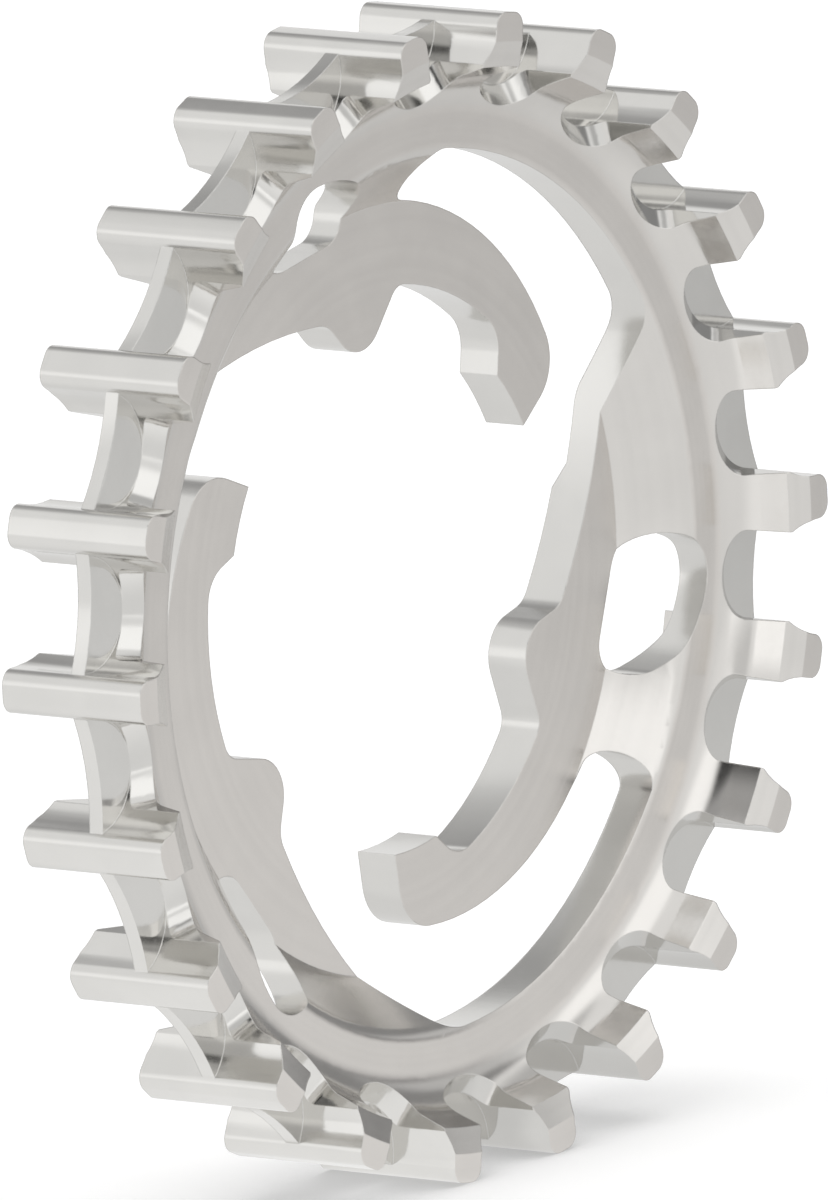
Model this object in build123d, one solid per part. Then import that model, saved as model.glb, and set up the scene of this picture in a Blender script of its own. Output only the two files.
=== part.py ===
from build123d import *
from math import atan2, cos, degrees, pi, radians, sin
import os

# A bicycle belt drive sprocket, machined from one piece of steel plate.
# Sizes are in millimetres. The plan is drawn on XY, as seen from the front, and the finished
# sprocket is turned upright: the axle runs along Y, the front faces -Y, and Z is up.
# The origin is on the axle, at the middle of the teeth's width.

# Belt teeth, with a gap at the very top and bottom. Depths are measured in from the tips.
tooth_count = 22
belt_pitch = 11.0
tip_depth_in_belt = 0.765
tooth_half_width = 1.45
tip_rounding = 1.0
face_width = 10.9
gap_centre_depth = 1.02
tooth_land_depth = 1.9
tooth_chamfer_depth = 3.55
tooth_chamfer_drop = 0.6
relief_half_width = 2.9
relief_lean = 57.9

# The fin that joins the teeth and guides the belt
fin_thickness = 1.04
fin_edge_depth = 1.45
fin_edge_curve = 16.0

# Ring below the teeth
ring_width = 4.2
ring_inner_half_thickness = 1.05
ring_outer_half_thickness = 1.25
ring_rounding = 3.0
tooth_foot_depth_in_gap = 0.05

# Hub plate, and the cones at 45 degrees from its faces to the ring. The front one ends short of
# the ring's bore and the back one past it. The step is measured in from the back cone's foot.
hub_thickness = 3.0
front_cone_inset = 0.15
front_cone_rounding = 1.6
back_cone_outset = 0.53
back_cone_rounding = 1.2
back_step_inset = 3.25
back_step_depth = 0.82

# Outline of the arm whose root points along +X, with the parts that fit the hub driver
arm_count = 3
arm_turn = 81.17
pad_radius = 17.35
pad_start_angle = -38.7
pad_end_angle = -53.85
seat_depth = 2.35
seat_start_angle = 1.92
tab_height = 2.6
tab_angle = 16.0
tab_side_slope = 53.13
free_end_slope = -43.5
slot_width = 3.43
slot_end_angle = 1.3
arm_back_offset = 4.47
arm_back_offset_angle = 13.85
arm_root_centre = Vector(-19.85, 5.46)
arm_root_clearance = 8.45

# Roundings of the arm's outline
root_rounding = 4.5
tab_side_rounding = 2.0
tab_tip_rounding = 2.65
tab_foot_rounding = 1.5
pad_side_rounding = 2.6
free_end_rounding = 3.3

# Window through the root of the arm
window_low_inset = 2.85
window_low_angle = 20.6
window_low_radius = 2.0
window_high_inset = 1.36
window_high_angle = 30.32
window_high_radius = 2.95
window_back_radius = 9.0

overshoot = 5.0
axle = Vector(0, 0)


def polar(radius, angle):
    return Vector(radius * cos(radians(angle)), radius * sin(radians(angle)))


# Sizes that follow from those above
pitch = 360 / tooth_count
top_angle = 90
half_width = face_width / 2
tip_radius = tooth_count * belt_pitch / (2 * pi) - tip_depth_in_belt
gap_centre_radius = tip_radius - gap_centre_depth
gap_bottom_radius = gap_centre_radius * (1 - sin(radians(pitch / 2))) + tooth_half_width
tooth_land_radius = tip_radius - tooth_land_depth
tooth_chamfer_radius = tip_radius - tooth_chamfer_depth
tooth_chamfer_height = half_width - tooth_chamfer_drop
tooth_foot_radius = gap_bottom_radius - tooth_foot_depth_in_gap
opening_radius = tooth_foot_radius - ring_width
front_cone_radius = opening_radius - front_cone_inset
back_cone_radius = opening_radius + back_cone_outset
seat_radius = pad_radius + seat_depth
pad_side_height = pad_radius * sin(radians(pad_start_angle))
tab_point = polar(pad_radius - tab_height, tab_angle)
arm_back_centre = polar(arm_back_offset, arm_back_offset_angle)
arm_back_radius = opening_radius - arm_back_offset - slot_width
arm_root_radius = opening_radius + arm_root_clearance
window_low_centre = polar(opening_radius - window_low_inset, window_low_angle)
window_high_centre = polar(opening_radius - window_high_inset, window_high_angle)


def mirrored(point):
    return Vector(point.X, -point.Y)


def on_circle(radius, height):
    """The point on the right half of a circle about the axle, at this height."""
    return Vector((radius**2 - height**2) ** 0.5, height)


def circles_meet(centre_a, radius_a, centre_b, radius_b, side):
    """Where two circles meet, on the left (1) or right (-1) of the way from a to b."""
    way = centre_b - centre_a
    along = (radius_a**2 - radius_b**2 + way.length**2) / (2 * way.length)
    across = side * (radius_a**2 - along**2) ** 0.5
    unit = way.normalized()
    return centre_a + unit * along + Vector(-unit.Y, unit.X) * across


def ray_leaves(start, angle, centre, radius):
    """Where a ray, which starts inside a circle, passes out through it."""
    offset = start - centre
    way = polar(1, angle)
    along = offset.dot(way)
    reach = (along**2 + radius**2 - offset.length**2) ** 0.5 - along
    return start + way * reach


def arc_about(centre, start, end, clockwise=False):
    radius = (start - centre).length
    first = atan2(start.Y - centre.Y, start.X - centre.X)
    last = atan2(end.Y - centre.Y, end.X - centre.X)
    sweep = (last - first) % (2 * pi)
    if clockwise:
        sweep -= 2 * pi
    halfway = centre + polar(radius, degrees(first + sweep / 2))
    return ThreePointArc(start, halfway, end)


def rounded(face, corners, radius):
    """The face, with its corners nearest to the given points rounded."""
    chosen = [face.vertices().sort_by_distance(corner)[0] for corner in corners]
    return fillet(chosen, radius)


def turned_blank():
    """The lathe work: hub plate, cone, ring and tooth ends, front and back."""
    hub_back = -half_width
    hub_front = hub_back + hub_thickness
    back_step_height = hub_back + back_step_depth
    hub_face_radius = front_cone_radius - (ring_inner_half_thickness - hub_front)
    back_cone_foot_radius = back_cone_radius + ring_inner_half_thickness + back_step_height
    back_step_radius = back_cone_foot_radius - back_step_inset

    front = [
        (0, hub_front),
        (hub_face_radius, hub_front),
        (front_cone_radius, ring_inner_half_thickness),
        (tooth_foot_radius, ring_outer_half_thickness),
        (tooth_chamfer_radius, tooth_chamfer_height),
        (tooth_land_radius, half_width),
        (tip_radius, half_width),
    ]
    back = [
        (tip_radius, -half_width),
        (tooth_land_radius, -half_width),
        (tooth_chamfer_radius, -tooth_chamfer_height),
        (tooth_foot_radius, -ring_outer_half_thickness),
        (back_cone_radius, -ring_inner_half_thickness),
        (back_cone_foot_radius, back_step_height),
        (back_step_radius + back_step_depth, back_step_height),
        (back_step_radius, hub_back),
        (0, hub_back),
    ]
    section = make_face(Polyline(*front, *back, close=True))
    section = rounded(section, [front[2]], front_cone_rounding)
    section = rounded(section, [front[3], back[3]], ring_rounding)
    section = rounded(section, [back[4], back[5]], back_cone_rounding)
    return revolve(Plane.XZ * section, Axis.Z)


def flank_point(distance):
    """A point on the upper flank of a gap that lies along +X, this far out along the tooth."""
    return polar(distance, pitch / 2) - polar(tooth_half_width, pitch / 2 + 90)


def around(shape, count, first=0):
    """Copies of a shape that lies along +X, spread evenly about the axle."""
    return [Rot(0, 0, first + number * 360 / count) * shape for number in range(count)]


def tooth_gap():
    """A gap along +X: two parallel tooth flanks with a round bottom, and rounded tooth tips."""
    centre = Vector(gap_centre_radius, 0)
    foot = flank_point(gap_centre_radius * cos(radians(pitch / 2)))
    mouth = flank_point(tip_radius + overshoot)
    outline = [
        Line(mirrored(mouth), mirrored(foot)),
        arc_about(centre, mirrored(foot), foot, clockwise=True),
        Line(foot, mouth),
        Line(mouth, mirrored(mouth)),
    ]
    notched = Circle(tip_radius) - make_face(outline)
    tips = [v for v in notched.vertices() if Vector(v).length > tip_radius - 0.01]
    return Circle(tip_radius) - fillet(tips, tip_rounding)


def teeth():
    plan = Circle(tip_radius) - around(tooth_gap(), tooth_count, first=top_angle)
    return extrude(plan, half_width, both=True)


def relief():
    """A slot along +X that eases the gap's bottom: it leans in from the fin to the ring's face."""
    start = gap_bottom_radius + relief_half_width
    reach = tip_radius + overshoot - gap_bottom_radius
    plan = Pos(start, 0) * Circle(relief_half_width)
    plan += Pos(start, 0) * Rectangle(reach, 2 * relief_half_width, align=(Align.MIN, Align.CENTER))
    lean = Vector(-sin(radians(relief_lean)), 0, cos(radians(relief_lean)))
    front = extrude(Pos(0, 0, fin_thickness / 2) * plan, half_width / lean.Z, dir=lean)
    return front + mirror(front, Plane.XY)


def fin():
    """The thin disc between the teeth, whose edge is hollow from one tooth tip to the next."""
    hollow = Pos(tip_radius - fin_edge_depth + fin_edge_curve, 0) * Circle(fin_edge_curve)
    plan = Circle(tip_radius) - around(hollow, tooth_count, first=top_angle)
    return extrude(plan, fin_thickness / 2, both=True)


def arm_side():
    """The opening's edge along one arm, from the ring in to the free end and out to the slot."""
    ring_corner = circles_meet(axle, opening_radius, arm_root_centre, arm_root_radius, -1)
    tab_side = ray_leaves(tab_point, tab_side_slope, arm_root_centre, arm_root_radius)
    seat_start = polar(seat_radius, seat_start_angle)
    seat_end = on_circle(seat_radius, pad_side_height)
    pad_start = on_circle(pad_radius, pad_side_height)
    pad_end = polar(pad_radius, pad_end_angle)
    free_end = ray_leaves(pad_end, free_end_slope, arm_back_centre, arm_back_radius)

    # The slot's round end touches both the ring and the arm's back.
    slot_way = polar(1, slot_end_angle)
    lean = arm_back_centre.dot(slot_way)
    spare = opening_radius**2 - 2 * opening_radius * lean
    spare += arm_back_offset**2 - arm_back_radius**2
    slot_end_radius = spare / (2 * (opening_radius + arm_back_radius - lean))
    slot_centre = slot_way * (opening_radius - slot_end_radius)
    way_to_slot = (slot_centre - arm_back_centre).normalized()
    slot_start = arm_back_centre + way_to_slot * arm_back_radius
    slot_stop = slot_way * opening_radius

    edges = [
        arc_about(arm_root_centre, ring_corner, tab_side, clockwise=True),
        Line(tab_side, tab_point),
        Line(tab_point, seat_start),
        arc_about(axle, seat_start, seat_end, clockwise=True),
        Line(seat_end, pad_start),
        arc_about(axle, pad_start, pad_end, clockwise=True),
        Line(pad_end, free_end),
        arc_about(arm_back_centre, free_end, slot_start),
        arc_about(slot_centre, slot_start, slot_stop, clockwise=True),
    ]
    corners = [
        (ring_corner, root_rounding),
        (tab_side, tab_side_rounding),
        (tab_point, tab_tip_rounding),
        (seat_start, tab_foot_rounding),
        (seat_end, pad_side_rounding),
        (free_end, free_end_rounding),
    ]
    return edges, corners


def opening():
    """The opening in the middle: the ring's bore less the three arms."""
    edges, corners = arm_side()
    step = 360 / arm_count
    next_arm_start = edges[0].position_at(0).rotate(Axis.Z, -step)
    ring_side = arc_about(axle, edges[-1].position_at(1), next_arm_start, clockwise=True)
    turns = [number * step for number in range(arm_count)]
    loop = [Rot(0, 0, turn) * edge for turn in turns for edge in [*edges, ring_side]]
    face = make_face(loop)
    for corner, rounding in corners:
        face = rounded(face, [corner.rotate(Axis.Z, turn) for turn in turns], rounding)
    return face


def window():
    """The window in an arm's root: two round ends, a straight front and a bowed back."""
    back_centre = circles_meet(
        window_low_centre,
        window_back_radius - window_low_radius,
        window_high_centre,
        window_back_radius - window_high_radius,
        1,
    )
    low_back = back_centre + (window_low_centre - back_centre).normalized() * window_back_radius
    high_back = back_centre + (window_high_centre - back_centre).normalized() * window_back_radius
    way = window_high_centre - window_low_centre
    spread = (window_high_radius - window_low_radius) / way.length
    heading = atan2(way.Y, way.X) + pi / 2
    front_way = polar(1, degrees(heading + atan2(spread, (1 - spread**2) ** 0.5)))
    low_front = window_low_centre + front_way * window_low_radius
    high_front = window_high_centre + front_way * window_high_radius
    outline = [
        arc_about(back_centre, low_back, high_back),
        arc_about(window_high_centre, high_back, high_front),
        Line(high_front, low_front),
        arc_about(window_low_centre, low_front, low_back),
    ]
    return make_face(outline)


def sprocket():
    body = turned_blank() & (teeth() + fin())
    body -= around(relief(), tooth_count, first=top_angle)
    plan = opening() + around(window(), arm_count)
    body -= Rot(0, 0, arm_turn) * extrude(plan, face_width, both=True)
    return Rot(90, 0, 0) * body


os.makedirs("parts", exist_ok=True)
export_step(sprocket(), "parts/sprocket.step")
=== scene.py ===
from math import cos, radians, sin

import bpy
import numpy as np
from mathutils import Matrix, Vector


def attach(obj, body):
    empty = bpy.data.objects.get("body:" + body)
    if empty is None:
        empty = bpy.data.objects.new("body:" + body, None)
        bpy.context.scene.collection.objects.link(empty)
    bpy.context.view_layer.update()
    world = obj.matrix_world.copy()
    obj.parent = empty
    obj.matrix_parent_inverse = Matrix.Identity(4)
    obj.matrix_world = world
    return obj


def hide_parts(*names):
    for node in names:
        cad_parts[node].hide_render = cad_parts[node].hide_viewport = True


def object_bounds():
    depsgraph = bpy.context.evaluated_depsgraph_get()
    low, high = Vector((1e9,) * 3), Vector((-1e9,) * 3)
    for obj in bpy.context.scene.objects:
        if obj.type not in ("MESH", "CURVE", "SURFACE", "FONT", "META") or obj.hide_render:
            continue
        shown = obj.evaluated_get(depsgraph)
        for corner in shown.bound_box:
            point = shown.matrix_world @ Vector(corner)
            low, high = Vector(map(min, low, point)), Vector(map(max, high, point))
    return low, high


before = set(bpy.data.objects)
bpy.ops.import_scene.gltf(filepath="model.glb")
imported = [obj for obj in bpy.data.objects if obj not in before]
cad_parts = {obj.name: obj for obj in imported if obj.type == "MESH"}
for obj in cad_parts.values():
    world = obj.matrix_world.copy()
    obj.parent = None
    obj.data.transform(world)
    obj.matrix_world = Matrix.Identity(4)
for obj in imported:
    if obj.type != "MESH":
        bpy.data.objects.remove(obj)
cad_box = [list(corner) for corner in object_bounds()]

# The photograph's camera, in metres and degrees, its lens and sensor in millimetres
camera_distance = 1.9853
camera_azimuth = -53.515
camera_elevation = 10.916
camera_roll = -2.781
camera_aim = Vector((-0.000337, 0.000296, -0.000490))
camera_lens = 925.5
camera_sensor = 36.0
camera_clip_end = 50.0

# Light tent: soft cards round the object, each laid over those before it. Azimuth runs from +X
# to +Y, elevation is above the horizon. The camera itself sees a white backdrop.
tent_level = 0.93
backdrop_level = 1.0
cards = (
    # azimuth, elevation, half width, half height, softness, level
    (-133, 23, 24, 13, 10, 0.70),
    (-165, 0, 66, 7, 16, 1.18),
    (-118, 0, 14, 5, 8, 1.30),
    (135, 3, 22, 18, 18, 1.16),
    (-85, 35, 34, 21, 9, 1.26),
    (-157, 39, 22, 9, 9, 0.05),
    (-160, 52, 30, 5, 12, 0.36),
    (-12, 12, 28, 24, 6, 0.29),
    (-35, 14, 9, 8, 8, 0.62),
    (52, 44, 18, 13, 14, 0.40),
    (66, 60, 14, 10, 14, 0.58),
    (-20, 52, 26, 8, 10, 0.58),
    (-180, 13, 10, 9, 6, 1.30),
)

# Floor, as the steel mirrors it: a plain glow, with a darker and a lighter side. Angles are from
# that side's azimuth, in degrees, where the change starts and where it is full.
floor_half_size = 4.0
floor_level = 0.865
shade_azimuth = -5
shade_angles = (52, 5)
shade_depth = 0.36
shade_radius = (0.03, 0.30)
shade_share_close_in = 0.35
light_azimuth = -175
light_angles = (60, 15)
light_gain = 0.18

# Floor, as the camera sees it: pale paper, with a little glow and a shadow under the object
paper_tone = 0.8
paper_glow = 0.46
contact_samples = 6
contact_distance = 0.02
contact_openness = (0.40, 0.90)
contact_tone = 0.60

# Steel: its colour, with a painted warm reflection and a painted edge highlight, and how rough
# each kind of cut leaves it
# The turned colour's extra warmth is a painted reflection, strongest on the flat turned faces.
turned_colour_with_painted_reflection = (0.726, 0.698, 0.667, 1.0)
milled_colour = (0.718, 0.709, 0.686, 1.0)
# The pale colour below is a painted highlight laid along the edges.
edge_highlight_colour = (0.80, 0.79, 0.77, 1.0)
turned_roughness = 0.20
curved_roughness = 0.18
milled_roughness = 0.17
pocket_roughness = 0.11
relief_roughness = 0.12
anisotropy = 0.5
quarter_turn = 0.25
edge_radius = 0.00012
edge_samples = 4

# Where each kind of cut lies. Facing is 1 where a face looks along the axle, outward is 1 where
# it looks away from the axle, and radius and depth are metres from the axle and the mid plane.
turned_facing = (0.20, 0.30)
turned_outward = (0.10, 0.30)
flat_facing = (0.95, 0.99)
fin_depth = (0.0006, 0.0008)
fin_radius = (0.030, 0.031)
pocket_start_radius = (0.0302, 0.0312)
pocket_end_radius = (0.0360, 0.0366)
relief_facing = (0.55, 0.65)
relief_radius = (0.0330, 0.0333)

# Noise for the tool marks and the unevenness: scale, detail and roughness
ring_noise = (1400.0, 1.0, 0.5)
line_noise = (1500.0, 1.0, 0.5)
cloud_noise = (260.0, 3.0, 0.55)
grain_noise = (2600.0, 2.0, 0.6)
ring_axle_scale = 0.6
line_axle_scale = 0.06
line_share = 0.5
mark_depth = 0.000005

# How far the noise, the painted warm reflection and the painted edge highlight change roughness
# and colour
uneven_range = (0.3, 0.7)
mark_range = (0.2, 0.8)
cloud_roughness = 0.02
grain_roughness = 0.01
cloud_tint = (0.98, 1.01)
mark_tint = (0.985, 1.015)
# Curved turned faces get only part of the painted warm reflection.
curved_share_of_painted_reflection = 0.5
# The painted edge highlight: how far the softened and the true normal agree where it starts and
# ends, and its strength
edge_highlight_range = (0.90, 0.995)
edge_highlight_share = 0.15

# Joining the mesh: points that round to the same step become one, and edges where the corner
# normals differ by more than the angle, in degrees, stay sharp.
weld_steps_a_metre = 1e7
sharp_angle = 15.0
face_area_weight = 50

# Turned faces for straighten, and the largest part it takes out of a normal
straighten_around = 0.15
straighten_outward = 0.1
straighten_facing = 0.2
straighten_part = 0.3


def link(tree, source, target):
    tree.links.new(source, target)


def set_input(tree, socket, value):
    if isinstance(value, bpy.types.NodeSocket):
        link(tree, value, socket)
    else:
        socket.default_value = value


def calc(tree, operation, *values):
    """A Math node with these inputs."""
    node = tree.nodes.new("ShaderNodeMath")
    node.operation = operation
    for socket, value in zip(node.inputs, values):
        set_input(tree, socket, value)
    return node.outputs[0]


def times(tree, a, b):
    return calc(tree, "MULTIPLY", a, b)


def rest_of(tree, mask):
    """1 minus the mask."""
    return calc(tree, "SUBTRACT", 1.0, mask)


def vector_calc(tree, operation, *values):
    """A Vector Math node with these inputs."""
    node = tree.nodes.new("ShaderNodeVectorMath")
    node.operation = operation
    for socket, value in zip(node.inputs, values):
        set_input(tree, socket, value)
    return node.outputs["Value" if operation in ("DOT_PRODUCT", "LENGTH") else "Vector"]


def ramp(tree, value, low, high, start=0.0, end=1.0):
    """Start below low, end above high, and a smooth step between."""
    node = tree.nodes.new("ShaderNodeMapRange")
    node.interpolation_type = "SMOOTHSTEP"
    set_input(tree, node.inputs["Value"], value)
    node.inputs["From Min"].default_value = low
    node.inputs["From Max"].default_value = high
    set_input(tree, node.inputs["To Min"], start)
    set_input(tree, node.inputs["To Max"], end)
    return node.outputs["Result"]


def blend(tree, factor, a, b):
    node = tree.nodes.new("ShaderNodeMix")
    node.data_type = "FLOAT"
    set_input(tree, node.inputs[0], factor)
    set_input(tree, node.inputs[2], a)
    set_input(tree, node.inputs[3], b)
    return node.outputs[0]


def blend_colour(tree, factor, a, b):
    node = tree.nodes.new("ShaderNodeMix")
    node.data_type = "RGBA"
    set_input(tree, node.inputs[0], factor)
    set_input(tree, node.inputs[6], a)
    set_input(tree, node.inputs[7], b)
    return node.outputs[2]


def noise(tree, vector, scale, detail, roughness):
    node = tree.nodes.new("ShaderNodeTexNoise")
    link(tree, vector, node.inputs["Vector"])
    node.inputs["Scale"].default_value = scale
    node.inputs["Detail"].default_value = detail
    node.inputs["Roughness"].default_value = roughness
    return node.outputs["Fac"]


def way(azimuth, elevation):
    """The unit vector towards this azimuth and elevation."""
    a, e = radians(azimuth), radians(elevation)
    return Vector((cos(a) * cos(e), sin(a) * cos(e), sin(e)))


def make_camera():
    azimuth = radians(camera_azimuth)
    elevation = radians(camera_elevation)
    back = Vector((sin(azimuth) * cos(elevation), -cos(azimuth) * cos(elevation), sin(elevation)))
    data = bpy.data.cameras.new("camera")
    data.sensor_width = camera_sensor
    data.lens = camera_lens
    data.clip_end = camera_clip_end
    camera = bpy.data.objects.new("camera", data)
    bpy.context.scene.collection.objects.link(camera)
    turn = back.to_track_quat("Z", "Y").to_matrix().to_4x4()
    roll = Matrix.Rotation(radians(camera_roll), 4, "Z")
    camera.matrix_world = Matrix.Translation(camera_aim + back * camera_distance) @ turn @ roll
    bpy.context.scene.camera = camera


def card_mask(tree, direction, azimuth, elevation, half_width, half_height, softness):
    """1 where the direction meets a rectangular card, falling to 0 round its edges."""
    forward = way(azimuth, elevation)
    right = way(azimuth + 90, 0)
    up = forward.cross(right)
    ahead = vector_calc(tree, "DOT_PRODUCT", direction, forward)
    mask = None
    for axis, half in ((right, half_width), (up, half_height)):
        side = calc(tree, "ABSOLUTE", vector_calc(tree, "DOT_PRODUCT", direction, axis))
        angle = calc(tree, "ARCTAN2", side, ahead)
        inner = radians(half - softness / 2)
        outer = radians(half + softness / 2)
        window = ramp(tree, angle, inner, outer, 1.0, 0.0)
        mask = window if mask is None else times(tree, mask, window)
    return mask


def make_world():
    world = bpy.data.worlds.new("light_tent")
    bpy.context.scene.world = world
    world.use_nodes = True
    tree = world.node_tree
    nodes = tree.nodes
    background = nodes["Background"]
    background.inputs["Color"].default_value = (1.0, 1.0, 1.0, 1.0)
    direction = nodes.new("ShaderNodeTexCoord").outputs["Generated"]
    level = tent_level
    for azimuth, elevation, half_width, half_height, softness, card_level in cards:
        mask = card_mask(tree, direction, azimuth, elevation, half_width, half_height, softness)
        level = blend(tree, mask, level, card_level)
    seen = nodes.new("ShaderNodeLightPath").outputs["Is Camera Ray"]
    link(tree, blend(tree, seen, level, backdrop_level), background.inputs["Strength"])


def side_lobe(tree, heading, azimuth, angles, amount):
    """The amount where the heading is close to the azimuth, falling to 0 away from it."""
    start, full = angles
    ahead = vector_calc(tree, "DOT_PRODUCT", heading, way(azimuth, 0))
    return ramp(tree, ahead, cos(radians(start)), cos(radians(full)), 0.0, amount)


def make_floor():
    size = floor_half_size
    low = cad_box[0][2]
    mesh = bpy.data.meshes.new("floor")
    corners = [(-size, -size, low), (size, -size, low), (size, size, low), (-size, size, low)]
    mesh.from_pydata(corners, [], [(0, 1, 2, 3)])
    floor = bpy.data.objects.new("floor", mesh)
    bpy.context.scene.collection.objects.link(floor)
    material = bpy.data.materials.new("pale_floor")
    material.cycles.emission_sampling = "NONE"
    material.use_nodes = True
    tree = material.node_tree
    nodes = tree.nodes
    nodes.clear()
    output = nodes.new("ShaderNodeOutputMaterial")
    diffuse = nodes.new("ShaderNodeBsdfDiffuse")
    glow = nodes.new("ShaderNodeEmission")
    add = nodes.new("ShaderNodeAddShader")
    path = nodes.new("ShaderNodeLightPath")
    camera_ray = path.outputs["Is Camera Ray"]
    glossy_ray = path.outputs["Is Glossy Ray"]

    # The glow that the steel mirrors
    place = nodes.new("ShaderNodeTexCoord").outputs["Object"]
    flat = vector_calc(tree, "MULTIPLY", place, (1.0, 1.0, 0.0))
    heading = vector_calc(tree, "NORMALIZE", flat)
    away = vector_calc(tree, "LENGTH", flat)
    far = ramp(tree, away, *shade_radius, shade_share_close_in, 1.0)
    shade = side_lobe(tree, heading, shade_azimuth, shade_angles, shade_depth)
    shade = times(tree, shade, far)
    light = side_lobe(tree, heading, light_azimuth, light_angles, light_gain)
    mirrored = calc(tree, "ADD", rest_of(tree, shade), light)
    mirrored = times(tree, mirrored, floor_level)

    # The paper that the camera sees, darker close to the object
    contact = nodes.new("ShaderNodeAmbientOcclusion")
    contact.samples = contact_samples
    contact.inputs["Distance"].default_value = contact_distance
    contact = ramp(tree, contact.outputs["AO"], *contact_openness, contact_tone, 1.0)
    contact = blend(tree, camera_ray, 1.0, contact)
    paper = nodes.new("ShaderNodeCombineColor")
    tone = blend(tree, glossy_ray, times(tree, paper_tone, contact), 0.0)
    for channel in paper.inputs:
        link(tree, tone, channel)
    link(tree, paper.outputs[0], diffuse.inputs["Color"])
    lift = times(tree, times(tree, camera_ray, paper_glow), contact)
    lift = blend(tree, glossy_ray, lift, mirrored)
    link(tree, lift, glow.inputs["Strength"])
    link(tree, diffuse.outputs[0], add.inputs[0])
    link(tree, glow.outputs[0], add.inputs[1])
    link(tree, add.outputs[0], output.inputs["Surface"])
    mesh.materials.append(material)


def make_steel():
    """Machined steel: rings round the axle on turned faces, lines along it on milled walls."""
    material = bpy.data.materials.new("machined_steel")
    material.use_nodes = True
    tree = material.node_tree
    nodes = tree.nodes
    shader = nodes["Principled BSDF"]
    shader.inputs["Metallic"].default_value = 1.0
    shader.inputs["Anisotropic"].default_value = anisotropy

    coordinates = nodes.new("ShaderNodeTexCoord")
    place = coordinates.outputs["Object"]
    normal = coordinates.outputs["Normal"]
    across = vector_calc(tree, "MULTIPLY", place, (1.0, 0.0, 1.0))
    radius = vector_calc(tree, "LENGTH", across)
    parts = nodes.new("ShaderNodeSeparateXYZ")
    link(tree, normal, parts.inputs[0])
    split = nodes.new("ShaderNodeSeparateXYZ")
    link(tree, place, split.inputs[0])
    facing = calc(tree, "ABSOLUTE", parts.outputs["Y"])
    depth = calc(tree, "ABSOLUTE", split.outputs["Y"])
    outward = vector_calc(tree, "NORMALIZE", across)
    outward = vector_calc(tree, "DOT_PRODUCT", normal, outward)

    # Turned faces look along the axle or in towards it; the fin and the leaning slots don't.
    turned = ramp(tree, facing, *turned_facing)
    turned = times(tree, turned, ramp(tree, outward, *turned_outward, 1.0, 0.0))
    fin = ramp(tree, depth, *fin_depth, 1.0, 0.0)
    fin = times(tree, fin, ramp(tree, radius, *fin_radius))
    turned = times(tree, turned, rest_of(tree, fin))
    pocket = ramp(tree, radius, *pocket_start_radius)
    pocket = times(tree, pocket, rest_of(tree, turned))
    pocket = times(tree, pocket, ramp(tree, radius, *pocket_end_radius, 1.0, 0.0))
    relief = times(tree, turned, ramp(tree, facing, *relief_facing, 1.0, 0.0))
    relief = times(tree, relief, ramp(tree, radius, *relief_radius))

    # Tool marks
    rings_at = nodes.new("ShaderNodeCombineXYZ")
    link(tree, radius, rings_at.inputs["X"])
    link(tree, times(tree, split.outputs["Y"], ring_axle_scale), rings_at.inputs["Y"])
    rings = noise(tree, rings_at.outputs[0], *ring_noise)
    lines_at = vector_calc(tree, "MULTIPLY", place, (1.0, line_axle_scale, 1.0))
    lines = noise(tree, lines_at, *line_noise)
    marks = blend(tree, turned, times(tree, lines, line_share), rings)
    cloud = noise(tree, place, *cloud_noise)
    grain = noise(tree, place, *grain_noise)

    soft_edge = nodes.new("ShaderNodeBevel")
    soft_edge.samples = edge_samples
    soft_edge.inputs["Radius"].default_value = edge_radius
    bump = nodes.new("ShaderNodeBump")
    bump.inputs["Strength"].default_value = 1.0
    bump.inputs["Distance"].default_value = mark_depth
    link(tree, marks, bump.inputs["Height"])
    link(tree, soft_edge.outputs["Normal"], bump.inputs["Normal"])
    link(tree, bump.outputs["Normal"], shader.inputs["Normal"])

    tangent = nodes.new("ShaderNodeTangent")
    tangent.direction_type = "RADIAL"
    tangent.axis = "Y"
    link(tree, tangent.outputs["Tangent"], shader.inputs["Tangent"])
    link(tree, times(tree, turned, quarter_turn), shader.inputs["Anisotropic Rotation"])

    # Roughness of each kind of cut, a little uneven
    lathe = ramp(tree, facing, *flat_facing, curved_roughness, turned_roughness)
    rough = blend(tree, turned, milled_roughness, lathe)
    rough = blend(tree, pocket, rough, pocket_roughness)
    rough = blend(tree, relief, rough, relief_roughness)
    uneven = ramp(tree, cloud, *uneven_range, -cloud_roughness, cloud_roughness)
    rough = calc(tree, "ADD", rough, uneven)
    uneven = ramp(tree, grain, *uneven_range, -grain_roughness, grain_roughness)
    rough = calc(tree, "ADD", rough, uneven)
    link(tree, rough, shader.inputs["Roughness"])

    # Colour: warmer on the turned faces with a painted reflection, paler along the edges with a
    # painted highlight
    painted_warm_reflection = times(tree, turned, ramp(tree, facing, *flat_facing, curved_share_of_painted_reflection, 1.0))
    tint = blend_colour(tree, painted_warm_reflection, milled_colour, turned_colour_with_painted_reflection)
    tint = vector_calc(tree, "SCALE", tint)
    tone = ramp(tree, cloud, *uneven_range, *cloud_tint)
    tone = times(tree, tone, ramp(tree, marks, *mark_range, *mark_tint))
    link(tree, tone, tint.node.inputs["Scale"])
    # A painted highlight along the edges, where the softened normal parts from the true one
    geometry = nodes.new("ShaderNodeNewGeometry")
    painted_edge_highlight = vector_calc(
        tree, "DOT_PRODUCT", soft_edge.outputs["Normal"], geometry.outputs["Normal"])
    painted_edge_highlight = ramp(tree, painted_edge_highlight, *edge_highlight_range, edge_highlight_share, 0.0)
    link(tree, blend_colour(tree, painted_edge_highlight, tint, edge_highlight_colour), shader.inputs["Base Color"])
    return material


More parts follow.
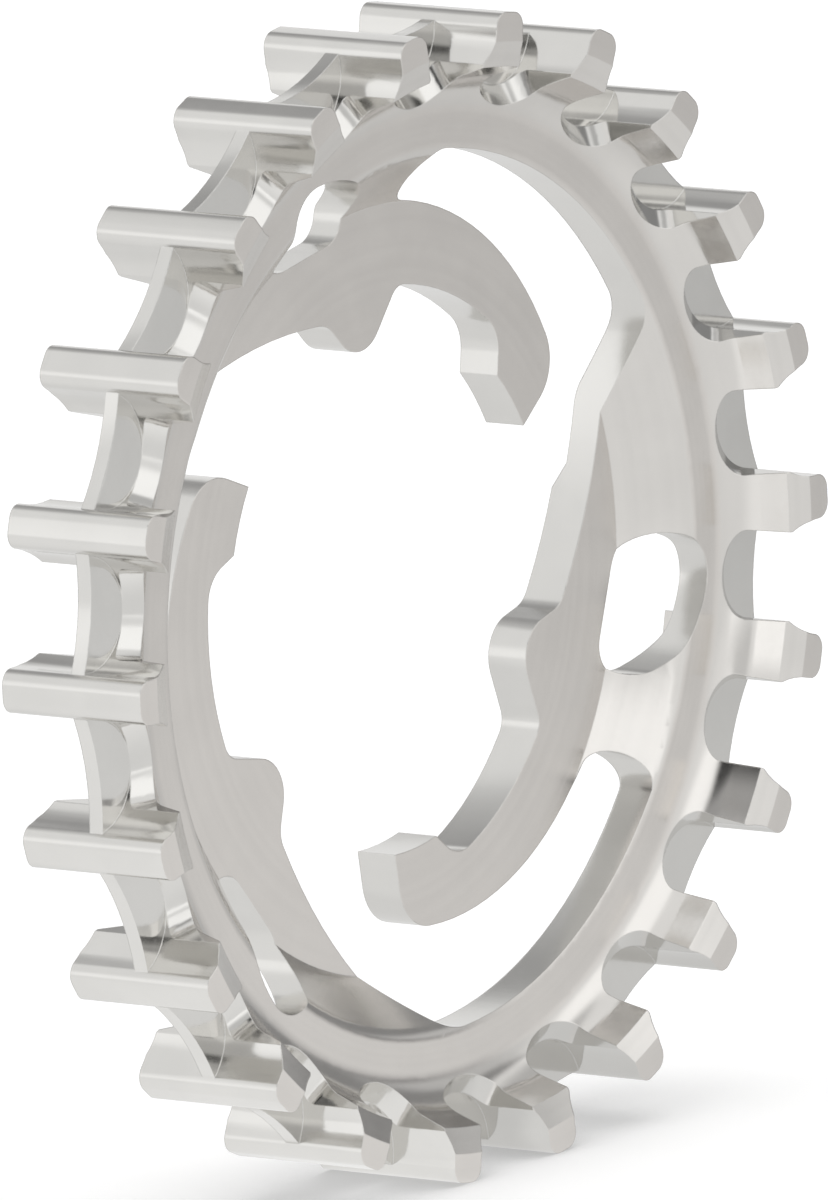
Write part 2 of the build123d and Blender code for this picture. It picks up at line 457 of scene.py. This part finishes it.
def read(items, name, width, kind=float):
    """One property of every item, as rows of this width."""
    values = np.empty(len(items) * width, dtype=kind)
    items.foreach_get(name, values)
    return values.reshape(-1, width)


def read_triangles(mesh):
    """The vertex number and the normal at each corner of each triangle."""
    corners = read(mesh.loops, "vertex_index", 1, int).reshape(-1, 3)
    normals = read(mesh.corner_normals, "vector", 3).reshape(-1, 3, 3)
    return corners, normals


def sharp_keys(faces, normals, count):
    """A key for each edge where the two faces' normals differ by more than the sharp angle."""
    keys = []
    ends = []
    for a, b in ((0, 1), (1, 2), (2, 0)):
        low = np.minimum(faces[:, a], faces[:, b])
        high = np.maximum(faces[:, a], faces[:, b])
        turned_round = (faces[:, a] > faces[:, b])[:, None]
        keys.append(low * count + high)
        at_low = np.where(turned_round, normals[:, b], normals[:, a])
        at_high = np.where(turned_round, normals[:, a], normals[:, b])
        ends.append(np.stack((at_low, at_high), axis=1))
    keys = np.concatenate(keys)
    ends = np.concatenate(ends)
    order = np.argsort(keys, kind="stable")
    keys, ends = keys[order], ends[order]
    pairs = np.nonzero(keys[:-1] == keys[1:])[0]
    agree = (ends[pairs] * ends[pairs + 1]).sum(axis=2).min(axis=1)
    return keys[pairs[agree < cos(radians(sharp_angle))]]


def straighten(mesh):
    """On turned faces, takes the part that runs round the axle out of every corner's normal."""
    corners, normals = read_triangles(mesh)
    points = read(mesh.vertices, "co", 3)[corners]
    facing = read(mesh.polygons, "normal", 3)

    outward = points * (1.0, 0.0, 1.0)
    outward /= np.linalg.norm(outward, axis=2, keepdims=True)
    around = np.stack((-outward[..., 2], outward[..., 1], outward[..., 0]), axis=2)
    middle = outward.mean(axis=1)
    across = np.stack((-middle[:, 2], middle[:, 1], middle[:, 0]), axis=1)
    turned = np.abs((facing * across).sum(axis=1)) < straighten_around
    turned &= (facing * middle).sum(axis=1) < straighten_outward
    turned &= np.abs(facing[:, 1]) > straighten_facing
    part = (normals * around).sum(axis=2, keepdims=True)
    part[~turned] = 0.0
    part[np.abs(part) > straighten_part] = 0.0
    normals = normals - around * part
    normals /= np.linalg.norm(normals, axis=2, keepdims=True)
    mesh.normals_split_custom_set(normals.reshape(-1, 3).tolist())


def finished(source):
    """The CAD node's mesh with its faces joined: smooth where they run on, sharp at real edges."""
    corners, normals = read_triangles(source.data)
    points = read(source.data.vertices, "co", 3)
    _, first, joined = np.unique(
        np.round(points * weld_steps_a_metre), axis=0, return_index=True, return_inverse=True)
    faces = joined.ravel()[corners]
    # Triangles that fold into a line when their points are joined are left out.
    whole = faces[:, 0] != faces[:, 1]
    whole &= faces[:, 1] != faces[:, 2]
    whole &= faces[:, 2] != faces[:, 0]
    faces, normals = faces[whole], normals[whole]
    sharp = sharp_keys(faces, normals, len(first))

    made = bpy.data.meshes.new("sprocket_finish")
    made.from_pydata(points[first], [], faces.tolist())
    made.polygons.foreach_set("use_smooth", [True] * len(made.polygons))
    edges = np.sort(read(made.edges, "vertices", 2, int), axis=1)
    edge_keys = edges[:, 0] * len(first) + edges[:, 1]
    made.edges.foreach_set("use_edge_sharp", np.isin(edge_keys, sharp))
    made.update()
    piece = bpy.data.objects.new("sprocket_finish", made)
    bpy.context.scene.collection.objects.link(piece)
    weighted = piece.modifiers.new("face_weighted_normals", "WEIGHTED_NORMAL")
    weighted.keep_sharp = True
    weighted.weight = face_area_weight
    graph = bpy.context.evaluated_depsgraph_get()
    piece.data = bpy.data.meshes.new_from_object(piece.evaluated_get(graph))
    piece.modifiers.clear()
    straighten(piece.data)
    return piece


make_camera()
make_world()
make_floor()
sprocket = finished(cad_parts["sprocket"])
sprocket.data.materials.append(make_steel())
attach(sprocket, "root")
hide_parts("sprocket")

bpy.context.scene.view_settings.view_transform = "Standard"
